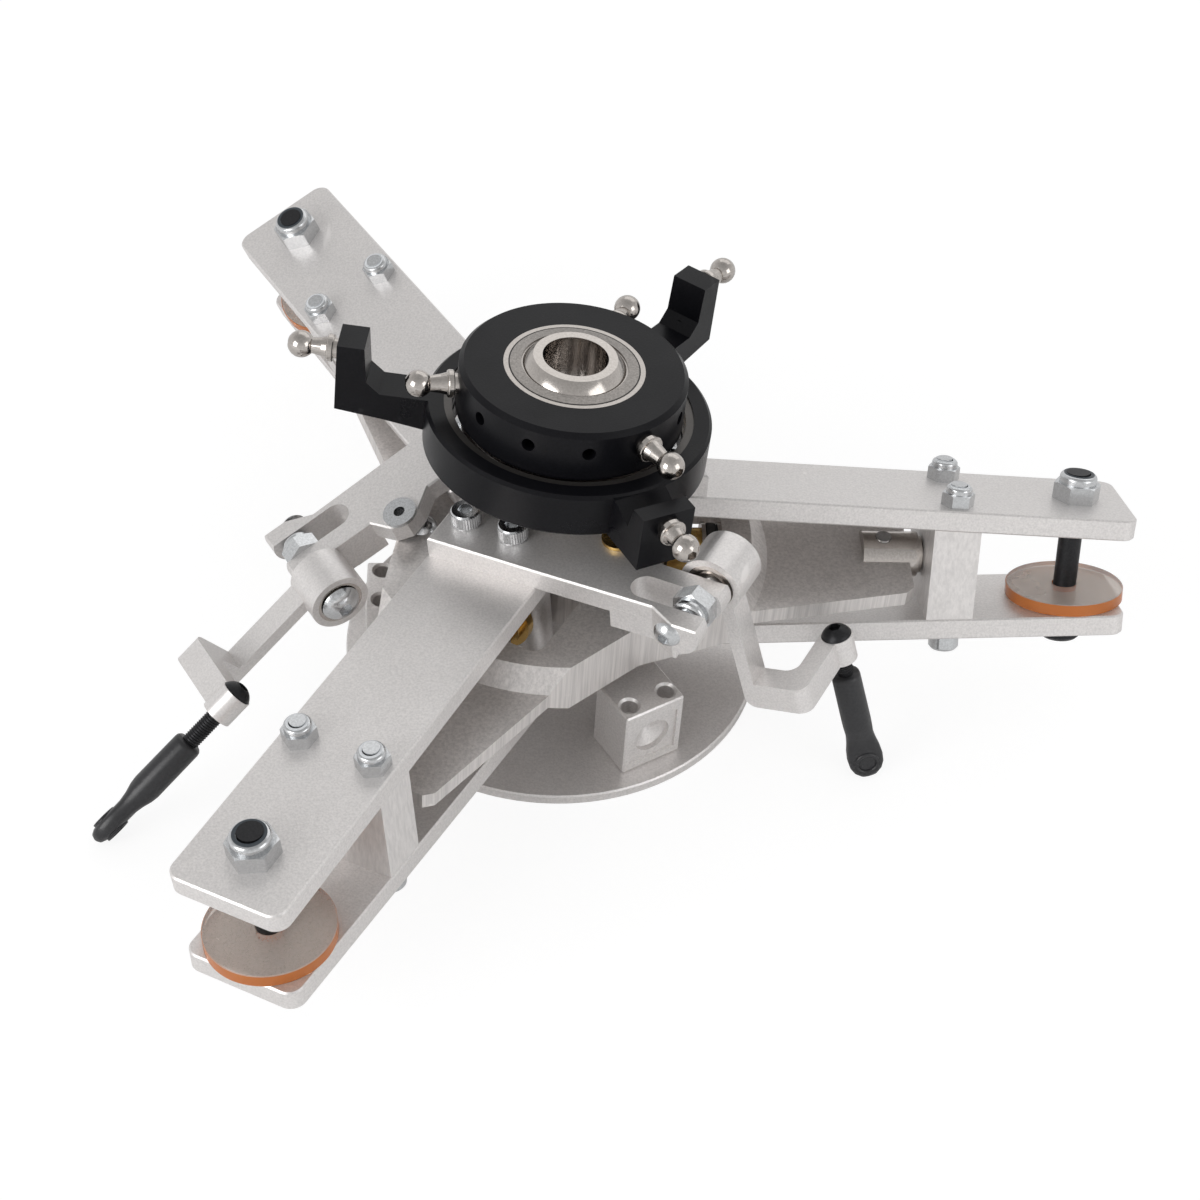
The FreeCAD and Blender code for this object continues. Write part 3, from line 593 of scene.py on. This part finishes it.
class HUB_OT_lock_rings(bpy.types.Operator):
    """Adds the locking rings that show in the collars of the nuts"""

    bl_idname = "hub.lock_rings"
    bl_label = "Locking rings"

    def execute(self, context):
        look = context.scene.hub_finish
        pale = finish("pale_nylon", look.nylon, 0.0, 0.45, mottle=0.06)
        dark = finish("dark_nylon", look.dark_nylon, 0.0, 0.40, mottle=0.20)
        for arm in "abc":
            mesh = bmesh.new()
            for side in (-1, 1):
                ring(mesh, SMALL_LOCK_RING,
                     on_plate(arm, SPACER_RADIUS, side * SPACER_SIDE, PLATE_FACE))
            add_piece("small_lock_rings_" + arm, mesh, "grip_" + arm, pale)
            mesh = bmesh.new()
            ring(mesh, BLADE_LOCK_RING, on_plate(arm, BLADE_RADIUS, 0, PLATE_FACE), HEAD_STEPS)
            add_piece("blade_lock_ring_" + arm, mesh, "grip_" + arm, dark)
        return {"FINISHED"}


class HUB_OT_knurls(bpy.types.Operator):
    """Adds the knurled bands round the cap screws of the horns"""

    bl_idname = "hub.knurls"
    bl_label = "Knurled heads"

    def execute(self, context):
        sizes = context.scene.hub_sizes
        metal = finish("plated_knurl", context.scene.hub_finish.zinc, 1.0, 0.30)
        for arm in "abc":
            mesh = bmesh.new()
            for x, y in CAP_SPOTS:
                knurled(mesh, sizes.knurl_count, sizes.knurl_depth,
                        on_plate(arm, x, y, HORN_FACE))
            add_piece("knurled_bands_" + arm, mesh, "grip_" + arm, metal)
        return {"FINISHED"}


class HUB_OT_bushes(bpy.types.Operator):
    """Adds the brass faces of the bushes that show in two of the pitch horns"""

    bl_idname = "hub.bushes"
    bl_label = "Horn bushes"

    def execute(self, context):
        brass = turned_brass(context.scene.hub_finish)
        for arm in "ab":
            mesh = bmesh.new()
            ring(mesh, BUSH_FACE, on_plate(arm, *BUSH_SPOT, HORN_FACE), BUSH_STEPS)
            add_piece("bush_face_" + arm, mesh, "grip_" + arm, brass)
        return {"FINISHED"}


class HUB_OT_bolt_heads(bpy.types.Operator):
    """Adds the tall round heads under the low plates"""

    bl_idname = "hub.bolt_heads"
    bl_label = "Bolt heads"

    def execute(self, context):
        look = context.scene.hub_finish
        for arm in "abc":
            mesh = bmesh.new()
            turned(mesh, BLADE_HEAD, under_plate(arm, BLADE_RADIUS, 0, PLATE_FACE))
            add_piece("blade_bolt_head_" + arm, mesh, "grip_" + arm,
                      black_oxide(look))
            mesh = bmesh.new()
            for side in (-1, 1):
                turned(mesh, SPACER_HEAD,
                       under_plate(arm, SPACER_RADIUS, side * SPACER_SIDE, PLATE_FACE))
            add_piece("spacer_heads_" + arm, mesh, "grip_" + arm, zinc_plate(look))
        return {"FINISHED"}


class HUB_OT_pads(bpy.types.Operator):
    """Adds the clear amber pads round the blade bolts"""

    bl_idname = "hub.pads"
    bl_label = "Amber pads"

    def execute(self, context):
        amber = clear_amber(context.scene.hub_finish)
        outline = ((PAD_HOLE, -PAD_THICK), (PAD_RADIUS - PAD_BEVEL, -PAD_THICK),
                   (PAD_RADIUS, PAD_BEVEL - PAD_THICK), (PAD_RADIUS, -PAD_BEVEL),
                   (PAD_RADIUS - PAD_BEVEL, -PAD_GAP), (PAD_HOLE, -PAD_GAP))
        for arm in "abc":
            mesh = bmesh.new()
            turned(mesh, outline, under_plate(arm, BLADE_RADIUS, 0, PLATE_INNER), WIDE_STEPS)
            pad = add_piece("amber_pad_" + arm, mesh, "grip_" + arm, amber)
            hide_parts("blade_washer_" + arm)
        return {"FINISHED"}


class HUB_OT_stud_necks(bpy.types.Operator):
    """Adds the flared collars between the ball studs' seats and their balls"""

    bl_idname = "hub.stud_necks"
    bl_label = "Stud necks"

    def execute(self, context):
        bright = bright_steel(context.scene.hub_finish)
        for name, studs in (("inner", INNER_STUDS), ("outer", OUTER_STUDS)):
            mesh = bmesh.new()
            for angle, seat, ball, height in studs:
                low, high = NECK_START, ball - seat - BALL_CLEAR
                outline = [(radius, low + rise) for radius, rise in NECK_FLANGE]
                outline += [(NECK_WAIST, low + NECK_WAIST_SHARE * (high - low)),
                            (NECK_TOP, high), (NECK_BORE, high)]
                foot = turn(angle, "Z") @ Matrix.Translation((seat, 0, height)) @ turn(90, "Y")
                turned(mesh, outline, swash_frame() @ foot)
            add_piece(name + "_stud_necks", mesh, "swash_" + name, bright)
        return {"FINISHED"}


class HUB_OT_race_rings(bpy.types.Operator):
    """Adds the dark liner round the ball of the swashplate, and a thin near-black ring round it
    as painted shade of the groove
    """

    bl_idname = "hub.race_rings"
    bl_label = "Race rings"

    def execute(self, context):
        look = context.scene.hub_finish
        # Steel at 0.55 of its colour, darker than the race
        liner = finish("darkened_liner", shade(look.steel, 0.55)[:3], 0.9, 0.30, mottle=0.25)
        # Steel at 0.05 of its colour: painted shade of the groove round the liner
        groove = finish("painted_groove_shade", shade(look.steel, 0.05)[:3], 0.2, 0.6, mottle=0.3)
        place = swash_frame() @ Matrix.Translation((0, 0, SWASH_TOP))
        mesh = bmesh.new()
        turned(mesh, RACE_LINER, place, WIDE_STEPS)
        add_piece("race_liner", mesh, "swash_inner", liner)
        mesh = bmesh.new()
        ring(mesh, RACE_GROOVE_SHADE, place, WIDE_STEPS)
        add_piece("race_groove_shade", mesh, "swash_inner", groove)
        return {"FINISHED"}


def link_section(mesh, height, wide, deep, power):
    """One level section of a link, a circle that is stretched and squared."""
    made = bmesh.ops.create_circle(mesh, segments=LINK_STEPS, radius=1.0, cap_ends=False)
    for vert in made["verts"]:
        x = copysign(abs(vert.co.x) ** power, vert.co.x)
        y = copysign(abs(vert.co.y) ** power, vert.co.y)
        vert.co = Vector((wide * x, deep * y, height)) * MM
    return list({edge for vert in made["verts"] for edge in vert.link_edges})


class HUB_OT_links(bpy.types.Operator):
    """Moulds the ball links, round at the rod and flattened at the eye"""

    bl_idname = "hub.links"
    bl_label = "Ball links"

    def execute(self, context):
        moulded = finish("moulded_plastic", context.scene.hub_finish.plastic, 0.0, 0.36,
                         grain=0.30, scale=MOULDED_GRAIN, mottle=0.25)
        for arm in "abc":
            mesh = bmesh.new()
            loops = [link_section(mesh, *section) for section in LINK_SECTIONS]
            for upper, lower in zip(loops, loops[1:]):
                bmesh.ops.bridge_loops(mesh, edges=upper + lower)
            bmesh.ops.edgeloop_fill(mesh, edges=loops[0])
            bmesh.ops.edgeloop_fill(mesh, edges=loops[-1])
            for side in (-1, 1):
                eye = Matrix.Translation((side * LINK_EYE_SIDE, 0, LINK_EYE_HEIGHT))
                ring(mesh, LINK_EYE_RIM, eye @ turn(90, "Y"))
            for face in mesh.faces:
                face.smooth = True
            rod_end = lever_frame(arm) @ Matrix.Translation((*ROD_SPOT, ROD_TO[arm]))
            bmesh.ops.transform(mesh, matrix=rod_end @ turn(LINK_TURN, "Z"), verts=mesh.verts[:])
            link = add_piece("moulded_link_" + arm, mesh, "lever_" + arm,
                             moulded)
            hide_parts("ball_link_" + arm)
        return {"FINISHED"}


class HUB_OT_threads(bpy.types.Operator):
    """Winds a thread round the bare part of each link rod"""

    bl_idname = "hub.threads"
    bl_label = "Rod threads"

    def execute(self, context):
        sizes = context.scene.hub_sizes
        pitch, crest = sizes.thread_pitch, ROD_RADIUS + sizes.thread_depth
        root, half = ROD_RADIUS - THREAD_ROOT, THREAD_SHARE * pitch
        for arm in "abc":
            mesh = bmesh.new()
            low = ROD_TO[arm] + half
            steps = int((ROD_FROM - half - low) / pitch * THREAD_STEPS)
            spots = ((root, low - half), (crest, low), (root, low + half))
            section = mesh.faces.new([mesh.verts.new((r, 0, z)) for r, z in spots])
            bmesh.ops.spin(mesh, geom=[section], cent=(0, 0, 0), axis=(0, 0, 1),
                           dvec=(0, 0, pitch / THREAD_STEPS), angle=2 * pi * steps / THREAD_STEPS,
                           steps=steps, use_merge=False, use_duplicate=False)
            place = lever_frame(arm) @ Matrix.Translation((*ROD_SPOT, 0))
            bmesh.ops.transform(mesh, matrix=place, verts=mesh.verts[:])
            add_piece("rod_thread_" + arm, mesh, "lever_" + arm,
                      black_oxide(context.scene.hub_finish))
        return {"FINISHED"}


# Studio


def pale_floor():
    """A wide pale floor that shows mostly as an even white to the camera."""
    mesh = bmesh.new()
    bmesh.ops.create_grid(mesh, x_segments=1, y_segments=1, size=FLOOR_REACH)
    data = bpy.data.meshes.new("floor")
    mesh.to_mesh(data)
    mesh.free()
    floor = bpy.data.objects.new("floor", data)
    bpy.context.collection.objects.link(floor)
    material = bpy.data.materials.new("pale_floor")
    material.use_nodes = True
    nodes, links = material.node_tree.nodes, material.node_tree.links
    paint = nodes["Principled BSDF"]
    paint.inputs["Base Color"].default_value = (0.93, 0.93, 0.93, 1)
    paint.inputs["Roughness"].default_value = 0.9
    paint.inputs["Specular IOR Level"].default_value = 0.0
    glow = nodes.new("ShaderNodeEmission")
    glow.inputs["Strength"].default_value = FLOOR_GLOW
    path = nodes.new("ShaderNodeLightPath")
    seen = nodes.new("ShaderNodeMath")
    seen.operation = "MULTIPLY"
    seen.inputs[1].default_value = FLOOR_GLOW_SHARE
    links.new(path.outputs["Is Camera Ray"], seen.inputs[0])
    blend = nodes.new("ShaderNodeMixShader")
    links.new(seen.outputs[0], blend.inputs["Fac"])
    links.new(paint.outputs[0], blend.inputs[1])
    links.new(glow.outputs[0], blend.inputs[2])
    links.new(blend.outputs[0], nodes["Material Output"].inputs["Surface"])
    data.materials.append(material)


def white_room(scene):
    """White surroundings, dimmer overhead than at the sides and plain white to the camera."""
    world = bpy.data.worlds.new("white_room")
    scene.world = world
    world.use_nodes = True
    nodes, links = world.node_tree.nodes, world.node_tree.links
    coordinates = nodes.new("ShaderNodeTexCoord")
    split = nodes.new("ShaderNodeSeparateXYZ")
    links.new(coordinates.outputs["Generated"], split.inputs["Vector"])
    height = nodes.new("ShaderNodeMapRange")
    height.inputs["To Min"].default_value = ROOM_LOW
    height.inputs["To Max"].default_value = ROOM_HIGH
    links.new(split.outputs["Z"], height.inputs["Value"])
    path = nodes.new("ShaderNodeLightPath")
    shown = nodes.new("ShaderNodeMix")
    shown.data_type = "FLOAT"
    shown.inputs["B"].default_value = 1.0
    links.new(path.outputs["Is Camera Ray"], shown.inputs["Factor"])
    links.new(height.outputs["Result"], shown.inputs["A"])
    room = nodes["Background"]
    room.inputs["Color"].default_value = (1, 1, 1, 1)
    links.new(shown.outputs["Result"], room.inputs["Strength"])


def soft_light(name, place, size, watts):
    """A soft rectangular lamp that faces the hub and stays out of the picture."""
    lamp = bpy.data.lights.new(name, "AREA")
    lamp.shape = "RECTANGLE"
    lamp.size, lamp.size_y = size
    lamp.energy = watts
    holder = bpy.data.objects.new(name, lamp)
    bpy.context.collection.objects.link(holder)
    holder.location = place
    holder.visible_camera = False
    holder.rotation_euler = (LAMP_TARGET - Vector(place)).to_track_quat("-Z", "Y").to_euler()


def photo_camera(scene):
    """The camera, standing where the photograph was taken."""
    camera = bpy.data.cameras.new("photo_camera")
    camera.lens = CAMERA_LENS
    camera.sensor_width = 36.0
    camera.clip_start = 0.01
    holder = bpy.data.objects.new("photo_camera", camera)
    bpy.context.collection.objects.link(holder)
    back = CAMERA_RIGHT.cross(CAMERA_UP)
    view = Matrix((CAMERA_RIGHT, CAMERA_UP, back)).transposed().to_4x4()
    view.translation = CAMERA_PLACE
    holder.matrix_world = turn(CAMERA_TURN, "Z") @ view
    scene.camera = holder


class HUB_OT_studio(bpy.types.Operator):
    """Adds the pale floor, the white surroundings, the soft lights and the camera"""

    bl_idname = "hub.studio"
    bl_label = "Studio"

    def execute(self, context):
        pale_floor()
        white_room(context.scene)
        for name, (place, size, watts) in LAMPS.items():
            soft_light(name, place, size, watts)
        photo_camera(context.scene)
        context.scene.view_settings.view_transform = "Standard"
        return {"FINISHED"}


STEPS = (HUB_OT_aluminium, HUB_OT_steel, HUB_OT_dark, HUB_OT_lock_rings, HUB_OT_knurls,
         HUB_OT_bushes, HUB_OT_bolt_heads, HUB_OT_pads, HUB_OT_stud_necks, HUB_OT_race_rings,
         HUB_OT_links, HUB_OT_threads, HUB_OT_studio)


class HUB_PT_panel(bpy.types.Panel):
    """Lists the steps that dress the hub, and the sizes and colours that they use"""

    bl_label = "Rotor hub"
    bl_idname = "HUB_PT_panel"
    bl_space_type = "VIEW_3D"
    bl_region_type = "UI"
    bl_category = "Rotor hub"

    def draw(self, context):
        for step in STEPS:
            self.layout.operator(step.bl_idname)
        for group in (context.scene.hub_finish, context.scene.hub_sizes):
            for name in group.bl_rna.properties.keys():
                if name not in ("rna_type", "name"):
                    self.layout.prop(group, name)


CLASSES = (HubFinish, HubSizes) + STEPS + (HUB_PT_panel,)


def register():
    for kind in CLASSES:
        bpy.utils.register_class(kind)
    bpy.types.Scene.hub_finish = PointerProperty(type=HubFinish)
    bpy.types.Scene.hub_sizes = PointerProperty(type=HubSizes)


def unregister():
    del bpy.types.Scene.hub_finish
    del bpy.types.Scene.hub_sizes
    for kind in reversed(CLASSES):
        bpy.utils.unregister_class(kind)


def main():
    register()
    bpy.ops.hub.aluminium()
    bpy.ops.hub.steel()
    bpy.ops.hub.dark()
    bpy.ops.hub.lock_rings()
    bpy.ops.hub.knurls()
    bpy.ops.hub.bushes()
    bpy.ops.hub.bolt_heads()
    bpy.ops.hub.pads()
    bpy.ops.hub.stud_necks()
    bpy.ops.hub.race_rings()
    bpy.ops.hub.links()
    bpy.ops.hub.threads()
    bpy.ops.hub.studio()


if __name__ == "__main__":
    main()
